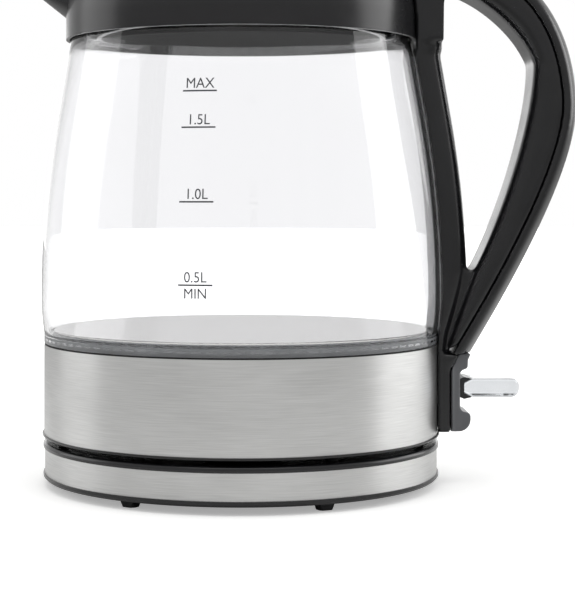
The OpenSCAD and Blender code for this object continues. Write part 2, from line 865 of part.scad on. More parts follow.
button_x = mouth_r + 5.9;
button_w = 15;
button_travel = 2.5;
button_top = top_z + 12.8;
button_floor = top_z - 3.6;
cap_z = top_z + 5.6;
collar_fall = collar_skirt_r - mouth_r + 2.1;
collar_bulge_r = (pow(rim_rise - 2, 2) + collar_fall * collar_fall) / (2 * collar_fall);
collar_steps = 8;
collar_outer = concat([[collar_skirt_r, collar_skirt_z]],
    [for (i = [0:collar_steps])
        let(z = (rim_rise - 2) * i / collar_steps)
        [collar_skirt_r - collar_bulge_r + sqrt(collar_bulge_r * collar_bulge_r - z * z), glass_top + 1 + z]],
    [[mouth_r - 3.1, top_z]]);

// The block over the collar in which the grip ends and the button slides
module head_side() {
    polygon(concat([[mouth_r - 6.1, top_z + 0.3]],
        [for (i = [2 * edge_steps:-1:2 * edge_steps - 6]) edge_point(i / edge_steps, cover_depth + seat)],
        [[mouth_r + 17.9, top_z - 6], inner_edge[1][3], [mouth_r + 15, top_z - 9.4],
        [mouth_r + 13.2, top_z - 13], [mouth_r + 13, collar_skirt_z - 1],
        [mouth_r - 6.1, collar_skirt_z - 1]]));
}

bevel_crease = 3.2;
bevel_steps = 6;
handle_screw_z = [band_z + 8.6, clamp_z - screw_head_r - 0.4];
lever_z = band_z + 17.2;
lever_x = band_r + 7;
hub_out_r = 2.9;
band_slot_w = 10;
band_slot_h = 10;
slab_t = 4.3;
slant_h = 6.4;
slant_w = 3.3;

module handle_frame() {
    web_w = handle_w - 6;
    color(black)
        difference() {
            union() {
                strap();
                grip();
                side_plate(web_w)
                    web_side();
                difference() {
                    side_plate(handle_w)
                        head_side();
                    rotate_extrude()
                        polygon(concat([[0, collar_skirt_z - 3], [collar_skirt_r + seat, collar_skirt_z - 3]],
                            [for (p = collar_outer) p + [seat, seat]], [[0, top_z + seat]]));
                }
                difference() {
                    translate([band_r - 4, -half_w, strap_bottom])
                        cube([4 + slab_t, handle_w, seam_z - strap_bottom]);
                    cylinder(r = band_r + seat, h = band_top + 1);
                }
                side_plate(handle_w)
                    polygon([[band_r + slab_t - 1, seam_z - slant_h - 1], [band_r + slab_t, seam_z - slant_h],
                        [band_r + slab_t + slant_w, seam_z], [band_r + slab_t - 1, seam_z]]);
            }
            translate([band_r - 4, -groove_w / 2 - seat, seam_z - 3])
                cube([4 + groove_d, groove_w + 2 * seat, notch[1] - seam_z + 3]);
            translate([band_r - 4, -10.4, lever_z - 6.4])
                cube([20 - 4, 20.8, 12.4]);
            for (z = handle_screw_z)
                translate([band_r - 4, 0, z])
                    rotate([0, 90, 0])
                        cylinder(r = screw_r + run, h = 12, $fn = 32);
            translate([button_x, 0, button_floor])
                cylinder(r = 5.6, h = 30, $fn = 48);
            translate([button_x - 9.2, -9.2, cap_z - button_travel - 0.3])
                cube([18.4, 18.4, 20]);
            translate([collar_skirt_r + seat + 3, 0, collar_skirt_z - 10])
                cylinder(r = 2.8, h = 24, $fn = 32);
        }
}

// How far the bevel comes in at u from 0, at its crease with the side, to 1, at the outer face
function bevel_in(u) = bevel_crease * u + (bevel_w - bevel_crease) * u * u;

// One cross-section of the grip's outer cover: its bevels start at a crease and curve on to the outer face
function cover_ring(t) =
    [for (q = concat([[cover_depth, -half_w]],
        [for (i = [0:bevel_steps]) let(u = i / bevel_steps) [bevel * (1 - u), -half_w + bevel_in(u)]],
        [for (i = [bevel_steps:-1:0]) let(u = i / bevel_steps) [bevel * (1 - u), half_w - bevel_in(u)]],
        [[cover_depth, half_w]]))
        let(p = edge_point(t, q[0])) [p[0], q[1], p[1]]];

module handle_cover() {
    color(black)
        difference() {
            loft([for (i = [-4:2 * edge_steps]) cover_ring(i / edge_steps)]);
            translate([0, -handle_w, seam_z - 60 + seat])
                cube([2 * reach, 2 * handle_w, 60]);
            translate([button_x - button_w / 2 - 0.3, -button_w / 2 - 0.3, top_z - 5])
                cube([button_w + 0.6, button_w + 0.6, 30]);
            translate([button_x - 9.2, -9.2, top_z - 5])
                cube([18.4, 18.4, 5 + cap_z - top_z + 1.7]);
            translate([band_r - 4, -groove_w / 2, seam_z])
                cube([9.2, groove_w, 8]);
        }
}

module handle_screws() {
    color(steel)
        for (z = handle_screw_z)
            translate([band_in - 0.2, 0, z])
                rotate([0, 90, 0])
                    screw(slab_t + 0.6);
}

module steam_tube() {
    tube_r = 1.9;
    bore = 1.2;
    sides = 10;
    path = [for (p = seat_line) p + [tube_r + 0.2, p[1] < flange_top ? 0.5 : p[1] > collar_skirt_z ? -2 : 0]];
    color([0.75, 0.75, 0.76, 0.8])
        tube_loft(
            [for (p = path) [for (i = [0:sides - 1])
                [p[0] + tube_r * cos(i * 360 / sides), tube_r * sin(i * 360 / sides), p[1]]]],
            [for (p = path) [for (i = [0:sides - 1])
                [p[0] + bore * cos(i * 360 / sides), bore * sin(i * 360 / sides), p[1]]]]);
}

// ---- The switch ----

housing_x = band_r + slab_t + seat;
housing_front = band_r + 12.4;
scoop_in = 3.4;
pin_l = 2 * (half_w - scoop_in - 0.6);
notch_floor = band_r + 8.2;
paddle_tip = notch_floor + paddle_l;

// The C-shaped outline of the housing, drawn from the side
module housing_side() {
    foot = 4.4;
    polygon(concat(
        [[housing_x, strap_bottom]],
        [for (a = [-90:15:0]) arc_point([housing_front - foot, strap_bottom + foot], foot, a)],
        [for (a = [0:30:90]) arc_point([housing_front - 1.2, lever_z - 10.7], 1.2, a)],
        [for (a = [-90:-20:-170]) arc_point([notch_floor + 2.4, lever_z - 6.9], 2.4, a)],
        [for (a = [180:-20:100]) arc_point([notch_floor + 2, lever_z + 5.6], 2, a)],
        [for (a = [-60:20:0]) arc_point([housing_front - 2.6, lever_z + 9.1], 1.6, a)],
        [[housing_front - 1, seam_z - 2.6], [housing_front + 0.1, seam_z], [housing_x + slant_w, seam_z],
         [housing_x, seam_z - slant_h]]));
}

// Its outline from the front, with rounded lower corners
module housing_face() {
    corner = 4;
    z = strap_bottom - 0.1;
    union() {
        translate([-half_w - 0.1, z + corner])
            square([handle_w + 0.2, seam_z]);
        translate([-half_w - 0.1 + corner, z])
            square([handle_w + 0.2 - 2 * corner, seam_z]);
        for (s = [-1, 1])
            translate([s * (half_w + 0.1 - corner), z + corner])
                circle(r = corner, $fn = 48);
    }
}

// Its outline from above: the sides are scooped towards the front
module housing_plan() {
    scoop = 22;
    mid = [housing_x + 8, half_w + scoop - scoop_in];
    polygon(concat([[housing_x, -half_w], [housing_x + 0.8, -half_w]],
        [for (i = [0:6]) let(x = housing_x + 1 + i * 1.3) [x,
        -mid[1] + sqrt(scoop * scoop - pow(x - mid[0], 2))]],
        [[housing_front + 1, -half_w + scoop_in], [housing_front + 1, half_w - scoop_in]],
        [for (i = [6:-1:0]) let(x = housing_x + 1 + i * 1.3) [x,
        mid[1] - sqrt(scoop * scoop - pow(x - mid[0], 2))]],
        [[housing_x + 0.8, half_w], [housing_x, half_w]]));
}

module switch_housing() {
    color(dark)
        difference() {
            intersection() {
                side_plate(handle_w + 2)
                    housing_side();
                linear_extrude(seam_z + 1)
                    housing_plan();
                translate([housing_x - 2, 0, 0])
                    rotate([90, 0, 90])
                        linear_extrude(20)
                            housing_face();
            }
            translate([lever_x, 0, lever_z])
                bar_y(hub_out_r + 0.5, paddle_w + 1.6);
            translate([housing_x - 1, -paddle_w / 2 - 0.8, lever_z - 7.2])
                cube([notch_floor - housing_x + 2, paddle_w + 1.6, 11.8]);
            translate([lever_x, 0, lever_z])
                bar_y(lever_pin_r + 0.02, pin_l + 0.4, 32);
            for (z = handle_screw_z)
                translate([housing_x - 1, 0, z])
                    rotate([0, 90, 0])
                        cylinder(r = screw_r + run, h = 2, $fn = 32);
        }
}

module lever_pin() {
    color(steel)
        translate([lever_x, 0, lever_z])
            bar_y(lever_pin_r, pin_l, 32);
}

paddle_root = lever_x + hub_out_r + 0.2;
tongue = 3.2;

// A black rocker: its hub turns on the pin, its fork grips the clear paddle, its arm reaches the control
module switch_lever() {
    arm_in = 10;
    arm_t = 2;
    fork = paddle_t / 2 + 0.7;
    color(black)
        difference() {
            union() {
                translate([lever_x, 0, lever_z])
                    bar_y(hub_out_r, paddle_w);
                side_plate(paddle_w)
                    translate([0, lever_z])
                        polygon([[lever_x, -hub_out_r], [paddle_root, -fork],
                            [paddle_root + tongue, -paddle_t / 2],
                            [paddle_root, -paddle_t / 2 + 1.6], [paddle_root, paddle_t / 2 - 1.6],
                            [paddle_root + tongue, paddle_t / 2], [paddle_root, fork], [lever_x, hub_out_r]]);
                translate([lever_x - hub_out_r - arm_in, -4, lever_z - arm_t / 2])
                    cube([arm_in + hub_out_r, 8, arm_t]);
            }
            translate([lever_x, 0, lever_z])
                bar_y(lever_pin_r + run, paddle_w + 2, 32);
        }
}

module switch_paddle() {
    r = paddle_t / 2;
    tip = 5;
    color(clear_glass)
        difference() {
            intersection() {
                side_plate(paddle_w)
                    translate([0, lever_z])
                        union() {
                            translate([paddle_root + seat, -r])
                                square([paddle_tip - r - paddle_root - seat, paddle_t]);
                            translate([paddle_tip - r, 0])
                                circle(r = r, $fn = 48);
                        }
                translate([0, 0, lever_z - paddle_t])
                    linear_extrude(2 * paddle_t)
                        union() {
                            translate([paddle_root, -paddle_w / 2])
                                square([paddle_tip - tip - paddle_root, paddle_w]);
                            translate([paddle_root, tip - paddle_w / 2])
                                square([paddle_tip - paddle_root, paddle_w - 2 * tip]);
                            for (s = [-1, 1])
                                translate([paddle_tip - tip, s * (paddle_w / 2 - tip)])
                                    circle(r = tip, $fn = 48);
                        }
            }
            side_plate(paddle_w + 2)
                translate([0, lever_z])
                    for (s = [0, 1])
                        mirror([0, s])
                            polygon([[paddle_root - 1, r + 1], [paddle_root + tongue + seat, r + 1],
                                [paddle_root + tongue + seat, r], [paddle_root + seat, r - 1.7],
                                [paddle_root - 1, r - 1.7]]);
        }
}

// ---- The collar, spout and filter ----

throat_r = mouth_r - throat_in;
hinge_x = throat_r - 1;
hinge_z = top_z - 0.1;
knuckle_r = 3.6;
knuckle_w = 23.6;
knuckle_gap = 0.4;
ear_w = 6;
hinge_l = knuckle_w + 2 * knuckle_gap + 2 * ear_w;
lid_seat_r = throat_r + 2.2;
lid_seat_z = top_z - 2;
bridge_x = hinge_x - 4.2;
web_z = glass_top + 1.2;
spout_r = 26;
lip_top = top_z + 1.5;
lip_r = 3.5;
spout_angle = 24;
lip_x = collar_skirt_r + lip_reach - lip_r;
throat_z = glass_top - 3.4;

// The outside of the spout, or its channel where inset is above nothing
module spout_form(inset, low) {
    hull() {
        translate([-(collar_skirt_r - spout_r), 0, low])
            cylinder(r = spout_r - inset, h = lip_top - low, $fn = 96);
        translate([-lip_x, 0, lip_top - 7 + inset * 1.5])
            cylinder(r = lip_r - inset * 0.75, h = 7 - inset * 1.5, $fn = 48);
    }
}

module top_collar() {
    color(black)
        difference() {
            union() {
                rotate_extrude()
                    polygon(concat(collar_outer,
                        [[lid_seat_r, top_z], [lid_seat_r, lid_seat_z], [throat_r, lid_seat_z],
                         [throat_r, throat_z], [throat_r + wall, throat_z],
                         [throat_r + wall, lid_seat_z - wall],
                         [mouth_r - 4.6, lid_seat_z - wall], [collar_in - 0.1, web_z + 3.2],
                         [collar_in - 0.1, web_z + wall], [throat_r + wall + 4, web_z + wall],
                         [throat_r + wall + 4, web_z], [collar_in, web_z], [collar_in_low, collar_skirt_z]]));
                difference() {
                    spout_form(0, glass_top + 3);
                    translate([0, 0, glass_top])
                        cylinder(r = collar_skirt_r - 4, h = 60);
                }
                intersection() {
                    translate([bridge_x, -throat_r, top_z - 6])
                        cube([20, 2 * throat_r, 6]);
                    translate([0, 0, top_z - 6])
                        cylinder(r = lid_seat_r + 1, h = 6);
                }
                translate([hinge_x, 0, hinge_z])
                    intersection() {
                        bar_y(knuckle_r, hinge_l);
                        translate([0, 0, 1])
                            cube([20, 60, 20], center = true);
                    }
            }
            difference() {
                spout_form(2, glass_top + 5.2);
                translate([0, 0, glass_top])
                    cylinder(r = throat_r + wall, h = 60);
            }
            spout_window();
            translate([hinge_x - 6, -knuckle_w / 2 - knuckle_gap, hinge_z - knuckle_r - 0.6])
                cube([6 + knuckle_r + 0.5, knuckle_w + 2 * knuckle_gap, 20]);
            translate([hinge_x, 0, hinge_z])
                bar_y(hinge_pin_r + 0.02, hinge_l + 1, 32);
            translate([throat_r - 2, 0, glass_top + 9])
                rotate([0, 90, 0])
                    cylinder(r = 2.5, h = 20, $fn = 32);
        }
}

// The opening through the throat's wall into the spout
module spout_window() {
    rotate([0, 0, 180 - spout_angle])
        rotate_extrude(angle = 2 * spout_angle)
            translate([throat_r - 1, glass_top - 1])
                square([wall + 2, rim_rise - 5]);
}

module collar_seal() {
    color(silicone)
        rotate_extrude()
            polygon([[mouth_r - glass_t, glass_top + 0.55], [mouth_r - 0.3, glass_top + 0.55],
                [mouth_r - 0.3, web_z - 0.05], [mouth_r - glass_t, web_z - 0.05]]);
}

// A curved panel in the spout's window, with two rows of openings
module spout_filter_frame() {
    z0 = glass_top - 0.8;
    h = rim_rise - 5.4;
    panes = 4;
    bar = 3;
    color(black)
        rotate([0, 0, 180 - spout_angle + 0.5])
            difference() {
                rotate_extrude(angle = 2 * spout_angle - 1)
                    translate([throat_r + 0.3, z0])
                        square([1.4, h]);
                for (i = [0:panes - 1])
                    rotate([0, 0, bar + i * (2 * spout_angle - 1 - bar) / panes])
                        rotate_extrude(angle = (2 * spout_angle - 1 - bar) / panes - bar)
                            translate([throat_r - 1, z0 + 2.4])
                                square([4, h - 4.8]);
            }
}

module filter_mesh() {
    color(steel)
        rotate([0, 0, 180 - spout_angle + 1])
            rotate_extrude(angle = 2 * spout_angle - 2)
                translate([throat_r + 1.75, glass_top])
                    square([0.2, rim_rise - 7]);
}

// ---- The lid ----

lid_r = lid_seat_r - 0.5;
lid_cut = bridge_x - 0.5;
dome_r = (lid_r * lid_r + lid_dome * lid_dome) / (2 * lid_dome);

module lid_cover() {
    color(black)
        difference() {
            union() {
                intersection() {
                    rotate_extrude()
                        intersection() {
                            polygon([[0, lid_seat_z], [lid_r, lid_seat_z], [lid_r, top_z - 0.6],
                                [lid_r - 0.6, top_z + 0.6], [0, top_z + 2 * lid_dome]]);
                            translate([0, top_z + lid_dome - dome_r])
                                circle(r = dome_r, $fn = wide);
                        }
                    translate([-2 * lid_r + lid_cut, -lid_r, top_z - 10])
                        cube([2 * lid_r, 2 * lid_r, 30]);
                }
                translate([hinge_x, 0, hinge_z])
                    bar_y(knuckle_r, knuckle_w);
                translate([lid_cut - 3, -knuckle_w / 2, lid_seat_z])
                    cube([hinge_x - lid_cut + 3, knuckle_w, top_z + 0.4 - lid_seat_z]);
            }
            translate([hinge_x, 0, hinge_z])
                bar_y(hinge_pin_r + run, knuckle_w + 2, 32);
        }
}

liner_r = throat_r - 1.6;
liner_h = 5;
liner_t = 1;

module lid_liner() {
    color(steel)
        difference() {
            intersection() {
                rotate_extrude()
                    polygon([[0, lid_seat_z - liner_h], [liner_r - 1, lid_seat_z - liner_h],
                        [liner_r, lid_seat_z - liner_h + 1], [liner_r, lid_seat_z],
                        [liner_r - liner_t, lid_seat_z],
                        [liner_r - liner_t, lid_seat_z - liner_h + liner_t],
                        [0, lid_seat_z - liner_h + liner_t]]);
                translate([-2 * throat_r + lid_cut - 3, -throat_r, 0])
                    cube([2 * throat_r, 2 * throat_r, 2 * top_z]);
            }
            ring_of([0:60:300])
                translate([12, 0, lid_seat_z - liner_h - 1])
                    cylinder(r = 2, h = 3, $fn = 24);
        }
}

module lid_seal() {
    color(silicone)
        intersection() {
            rotate_extrude()
                polygon([[liner_r + seat, lid_seat_z - 3], [throat_r - 0.6, lid_seat_z - 2.4],
                    [throat_r - 0.6, lid_seat_z - 1.4], [liner_r + seat, lid_seat_z - 0.8]]);
            translate([-2 * throat_r + lid_cut - 3, -throat_r, 0])
                cube([2 * throat_r, 2 * throat_r, 2 * top_z]);
        }
}

module lid_hinge_pin() {
    color(steel)
        translate([hinge_x, 0, hinge_z])
            bar_y(hinge_pin_r, hinge_l - 0.4, 32);
}

// ---- The release button ----

module rounded_box(w, h, r) {
    linear_extrude(h)
        union() {
            square([w, w - 2 * r], center = true);
            square([w - 2 * r, w], center = true);
            for (x = [-1, 1], y = [-1, 1])
                translate([x * (w / 2 - r), y * (w / 2 - r)])
                    circle(r = r, $fn = 24);
        }
}

module lid_button() {
    color(dark)
        translate([button_x, 0, cap_z])
            union() {
                rounded_box(button_w, button_top - cap_z, 2);
                rounded_box(button_w + 2, 1.4, 2);
                translate([0, 0, button_floor + button_travel + 0.4 - cap_z])
                    cylinder(r = 2.8, h = cap_z - button_floor - button_travel, $fn = 32);
            }
}

module button_spring() {
    wire = 0.45;
    coil = 4;
    turns = 4;
    steps = 14;
    sides = 6;
    low = button_floor + wire;
    rise = cap_z - button_floor - 2 * wire - 0.05;
    color(steel)
        loft([for (i = [0:turns * steps])
            let(a = i * 360 / steps, z = low + rise * i / (turns * steps))
            [for (k = [0:sides - 1])
                let(b = -k * 360 / sides)
                [button_x + (coil + wire * cos(b)) * cos(a), (coil + wire * cos(b)) * sin(a),
                z + wire * sin(b)]]]);
}

base_tray();
base_feet();
base_trim_ring();
base_cover();
base_screws();
connector_housing();
contact_ring_outer();
contact_ring_inner();
cord_gland();
cord_clamp();
earth_sleeve();
jug_bottom();
jug_feet();
jug_screws();
steel_band();
clamp_ring();
plate_seal();
glass_gasket();
boiling_plate();
heat_spreader();
heating_element();
coupler_socket();
coupler_ring_outer();
coupler_ring_inner();
coupler_earth_pin();
thermostat_control();
bimetal_discs();
glass_jug();
handle_frame();
handle_cover();
handle_screws();
steam_tube();
switch_housing();
lever_pin();
switch_lever();
switch_paddle();
top_collar();
collar_seal();
spout_filter_frame();
filter_mesh();
lid_cover();
lid_liner();
lid_seal();
lid_hinge_pin();
lid_button();
button_spring();
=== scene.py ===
# %% [markdown]
# # An electric kettle with a glass jug
# The kettle is a glass jug with a steel band, a black V-shaped handle and a clear switch paddle. It stands
# on a round power base with a connector in its middle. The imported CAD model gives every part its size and
# place. This file gives each part its finish, and makes again, as smooth surfaces, the parts whose curves
# are coarse in the CAD model.

import json
import math

import bmesh
import bpy
import numpy as np
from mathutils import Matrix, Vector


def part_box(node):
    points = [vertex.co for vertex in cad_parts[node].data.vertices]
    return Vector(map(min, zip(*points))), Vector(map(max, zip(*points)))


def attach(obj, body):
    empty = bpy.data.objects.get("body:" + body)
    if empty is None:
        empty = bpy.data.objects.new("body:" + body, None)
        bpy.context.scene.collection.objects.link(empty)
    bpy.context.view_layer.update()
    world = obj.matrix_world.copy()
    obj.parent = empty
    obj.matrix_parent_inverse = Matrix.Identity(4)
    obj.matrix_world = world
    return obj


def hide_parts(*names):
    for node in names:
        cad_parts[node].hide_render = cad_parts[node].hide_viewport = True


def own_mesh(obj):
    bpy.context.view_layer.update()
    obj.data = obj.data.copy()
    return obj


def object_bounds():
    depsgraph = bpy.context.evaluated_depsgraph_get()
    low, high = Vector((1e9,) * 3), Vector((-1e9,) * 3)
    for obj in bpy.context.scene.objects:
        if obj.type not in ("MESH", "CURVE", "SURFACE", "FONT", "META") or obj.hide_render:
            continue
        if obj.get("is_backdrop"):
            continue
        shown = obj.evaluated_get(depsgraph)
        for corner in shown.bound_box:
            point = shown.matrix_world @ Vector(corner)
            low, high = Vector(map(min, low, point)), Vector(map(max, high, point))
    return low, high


MM = 0.001
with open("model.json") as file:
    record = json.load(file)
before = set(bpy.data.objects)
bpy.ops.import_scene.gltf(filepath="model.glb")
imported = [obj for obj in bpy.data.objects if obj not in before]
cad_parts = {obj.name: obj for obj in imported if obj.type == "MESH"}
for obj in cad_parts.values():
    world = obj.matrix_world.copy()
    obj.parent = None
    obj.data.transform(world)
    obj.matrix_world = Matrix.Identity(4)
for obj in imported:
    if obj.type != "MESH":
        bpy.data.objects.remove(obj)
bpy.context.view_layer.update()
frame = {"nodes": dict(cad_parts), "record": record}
nodes = frame["nodes"]

# %% [markdown]
# ## Camera
# The camera looks level across the worktop, from about halfway up the kettle. A long lens at 0.7 m keeps
# the upright sides almost parallel. The lens shift slides the picture sideways and up without tilting the
# camera, so the jug's sides stay straight.

# %% Camera
LENS_MM, SENSOR_MM = 102.8, 36
SHIFT_X, SHIFT_Y = 0.0777, -0.1688
CAMERA_PLACE = (0, -0.685, 0.1126)
camera_data = bpy.data.cameras.new("camera")
camera_data.lens, camera_data.sensor_width = LENS_MM, SENSOR_MM
camera_data.shift_x, camera_data.shift_y = SHIFT_X, SHIFT_Y
camera_data.clip_start, camera_data.clip_end = 0.05, 30
camera = bpy.data.objects.new("camera", camera_data)
camera.location = CAMERA_PLACE
camera.rotation_euler = (math.radians(90), 0, 0)
bpy.context.scene.collection.objects.link(camera)
bpy.context.scene.camera = camera
print("camera at", tuple(camera.location), "lens", camera_data.lens)

# %% [markdown]
# ## One helper for nodes, one for colours
# A material is a small graph of nodes. One function adds a node, sets its values and joins its links, so
# each material below reads as a list of steps. Colours are written as sRGB hex values, as a colour card
# gives them, and turned to the linear values that the renderer works in.

# %% Helpers for materials
def linear(hex_colour):
    """sRGB hex to linear RGBA: each channel is ((c + 0.055) / 1.055) to the power 2.4, or c / 12.92 when dark."""
    c = np.array([int(hex_colour[i:i + 2], 16) for i in (1, 3, 5)]) / 255
    rgb = np.where(c <= 0.04045, c / 12.92, ((c + 0.055) / 1.055) ** 2.4)
    return (*map(float, rgb), 1.0)


def add(tree, kind, values=None, links=None, **settings):
    """Adds a node of a kind, sets its settings and socket values, and links sockets to (node, output) pairs."""
    made = tree.nodes.new(kind)
    for name, value in settings.items():
        setattr(made, name, value)
    for socket, value in (values or {}).items():
        made.inputs[socket].default_value = value
    for socket, (source, output) in (links or {}).items():
        tree.links.new(source.outputs[output], made.inputs[socket])
    return made


def new_material(name, **shader_values):
    """An empty material with its output and one Principled shader, whose constants are set on its own sockets."""
    material = bpy.data.materials.new(name)
    material.use_nodes = True
    tree = material.node_tree
    tree.nodes.clear()
    values = {key.replace("_", " "): value for key, value in shader_values.items()}
    shader = add(tree, "ShaderNodeBsdfPrincipled", values)
    add(tree, "ShaderNodeOutputMaterial", links={"Surface": (shader, "BSDF")})
    return material, tree, shader


def noise(tree, size_mm, stretch=(1, 1, 1), detail=2.0, rough=0.5):
    """A 3D noise whose grains are about size_mm across, longer along an axis whose stretch is above 1."""
    coords = add(tree, "ShaderNodeTexCoord")
    scale = tuple(1 / (size_mm * MM * s) for s in stretch)
    mapping = add(tree, "ShaderNodeMapping", {"Scale": scale}, {"Vector": (coords, "Object")})
    return add(tree, "ShaderNodeTexNoise", {"Scale": 1.0, "Detail": detail, "Roughness": rough},
               {"Vector": (mapping, "Vector")})


def ramp(tree, source, low, high, output="Fac"):
    """Turns a pattern from 0 to 1 into numbers from low to high."""
    return add(tree, "ShaderNodeMapRange", {"To Min": low, "To Max": high, "From Min": 0.25, "From Max": 0.75},
               {"Value": (source, output)})


def shades(tree, source, dark, light, output="Fac"):
    """Turns a pattern from 0 to 1 into a colour between two hex colours."""
    made = add(tree, "ShaderNodeValToRGB", links={"Fac": (source, output)})
    made.color_ramp.elements[0].position = 0.3
    made.color_ramp.elements[1].position = 0.7
    made.color_ramp.elements[0].color = linear(dark)
    made.color_ramp.elements[1].color = linear(light)
    return made


def bump(tree, source, depth_mm, output="Fac"):
    """Raises and lowers the surface's shading by a pattern, to a depth in millimetres."""
    return add(tree, "ShaderNodeBump", {"Strength": 1.0, "Distance": depth_mm * MM},
               {"Height": (source, output)})


def finish(tree, shader, colour=None, roughness=None, relief=None):
    """Joins a pattern's colour, roughness and relief to the shader."""
    if colour:
        tree.links.new(colour.outputs["Color"], shader.inputs["Base Color"])
    if roughness:
        tree.links.new(roughness.outputs["Result"], shader.inputs["Roughness"])
    if relief:
        tree.links.new(relief.outputs["Normal"], shader.inputs["Normal"])


# %% [markdown]
# ## Brushed stainless steel
# The band and the trim ring are sheet stainless steel, brushed round the ring with an abrasive belt. The
# scratches lie level and catch the light as fine streaks, and a highlight spreads upright across them. The
# noise is stretched level, 45 times longer than it is high. A real scratch is about 0.05 mm wide; it is drawn
# 0.3 mm wide so that it shows. Anisotropy with a radial tangent spreads the highlights.

# %% Brushed steel
steel, tree, shader = new_material("brushed_stainless_steel", Metallic=1.0, Anisotropic=0.7,
                                   Anisotropic_Rotation=0.25)
SCRATCH_MM, SCRATCH_STRETCH = 0.3, 45
streaks = noise(tree, SCRATCH_MM, stretch=(SCRATCH_STRETCH, SCRATCH_STRETCH, 1), detail=3)
cloud = noise(tree, 30, stretch=(1, 1, 0.5), detail=1)
cloud_share = add(tree, "ShaderNodeMath", {1: 0.35}, {0: (cloud, "Fac")}, operation="MULTIPLY")
mixed = add(tree, "ShaderNodeMath", {1: 0.65}, {0: (streaks, "Fac"), 2: (cloud_share, "Value")},
            operation="MULTIPLY_ADD")
tangent = add(tree, "ShaderNodeTangent", direction_type="RADIAL", axis="Z")
tree.links.new(tangent.outputs["Tangent"], shader.inputs["Tangent"])
finish(tree, shader, shades(tree, mixed, "#c2c2c1", "#d6d6d5", "Value"),
       ramp(tree, mixed, 0.4, 0.32, "Value"), bump(tree, streaks, 0.003))

# %% [markdown]
# ## Moulded black plastics
# The handle and the collar are black polypropylene, moulded in a tool with a fine spark-eroded texture. It
# gives the eye a soft, satin black with wide, weak highlights. The texture is about 0.1 mm across on the real
# part and is drawn at 0.35 mm. The base's cover is the same plastic from a smoother tool, so it is glossier,
# with half the relief. Dark grey ABS, glass-filled nylon, rubber and silicone are moulded in the same way, and
# differ in colour, gloss and grain.

# %% Black plastics
def moulded(name, dark, light, rough_low, rough_high, grain_mm=0.35, depth_mm=0.006):
    """Moulded plastic: fine grain in the relief, a slow drift in the colour and in the roughness."""
    material, tree, shader = new_material(name, IOR=1.49)
    grain = noise(tree, grain_mm, detail=2)
    drift = noise(tree, 14, detail=3)
    finish(tree, shader, shades(tree, drift, dark, light), ramp(tree, drift, rough_low, rough_high),
           bump(tree, grain, depth_mm))
    return material


black_plastic = moulded("black_moulded_polypropylene", "#101012", "#161618", 0.2, 0.28)
gloss_plastic = moulded("black_glossy_polypropylene", "#141416", "#19191b", 0.17, 0.22, depth_mm=0.003)
dark_plastic = moulded("grey_moulded_abs", "#57585b", "#606164", 0.28, 0.36)
inner_plastic = moulded("black_glass_filled_nylon", "#1c1c1d", "#242425", 0.5, 0.62, 0.5, 0.01)
rubber = moulded("black_rubber", "#131314", "#1b1b1c", 0.7, 0.85, 0.3, 0.012)
silicone = moulded("grey_silicone_rubber", "#999b9e", "#a8aaad", 0.42, 0.52, 0.5, 0.004)

# %% [markdown]
# ## Glass, clear acrylic and print
# The jug is blown borosilicate glass, with an IOR of 1.47. Glass has almost no colour of its own: what shows
# is the wall's edge, where the light is bent away, and the reflections. Blown glass is never quite even, so a
# very shallow, slow relief bends the reflections a little. The paddle is moulded acrylic, IOR 1.49, with a
# light grey tint. The litre marks are dark grey enamel ink, fired on the outside of the glass.

# %% Glass, acrylic and ink
glass, tree, shader = new_material("blown_borosilicate_glass", Transmission_Weight=1.0, IOR=1.47, Roughness=0.0)
shader.inputs["Base Color"].default_value = linear("#fbfbfc")
finish(tree, shader, relief=bump(tree, noise(tree, 45, detail=0), 0.02))

acrylic, tree, shader = new_material("clear_moulded_acrylic", Transmission_Weight=1.0, IOR=1.49)
flow = noise(tree, 6, stretch=(3, 1, 1), detail=1)
finish(tree, shader, shades(tree, flow, "#ced1d4", "#d9dbde"), ramp(tree, flow, 0.03, 0.08),
       bump(tree, flow, 0.03))

ink, tree, shader = new_material("grey_enamel_ink", IOR=1.5)
speckle = noise(tree, 0.4, detail=2)
finish(tree, shader, shades(tree, speckle, "#3c3e42", "#4a4d52"), ramp(tree, speckle, 0.45, 0.6))

# %% [markdown]
# ## Bright metals
# The boiling plate is stainless steel, spun on a lathe and polished, so its faint lines run in circles: the
# pattern reads the distance from the jug's axis. The contacts are brass, the screws are zinc-plated steel and
# the heat spreader is rolled aluminium.

# %% Bright metals
def bright_metal(name, dark, light, rough_low, rough_high, size_mm=3.0):
    """Plated, rolled or turned metal: a slow mottling in the colour and in the roughness."""
    material, tree, shader = new_material(name, Metallic=1.0)
    mottle = noise(tree, size_mm, detail=3)
    finish(tree, shader, shades(tree, mottle, dark, light), ramp(tree, mottle, rough_low, rough_high),
           bump(tree, mottle, 0.004))
    return material


polished, tree, shader = new_material("spun_stainless_steel", Metallic=1.0)
coords = add(tree, "ShaderNodeTexCoord")
flat = add(tree, "ShaderNodeVectorMath", {1: (1, 1, 0)}, {0: (coords, "Object")}, operation="MULTIPLY")
radius = add(tree, "ShaderNodeVectorMath", links={0: (flat, "Vector")}, operation="LENGTH")
rings = add(tree, "ShaderNodeTexNoise", {"Scale": 1 / (0.5 * MM), "Detail": 2.0}, {"W": (radius, "Value")},
            noise_dimensions="1D")
finish(tree, shader, shades(tree, rings, "#c4c3c1", "#d8d7d5"), ramp(tree, rings, 0.16, 0.26),
       bump(tree, rings, 0.003))

brass = bright_metal("satin_brass", "#a8874a", "#c2a35e", 0.24, 0.36)
zinc = bright_metal("zinc_plated_steel", "#9ea1a3", "#b6b9ba", 0.22, 0.34, 1.2)
aluminium = bright_metal("rolled_aluminium", "#a9abad", "#bfc1c2", 0.3, 0.42, 5.0)

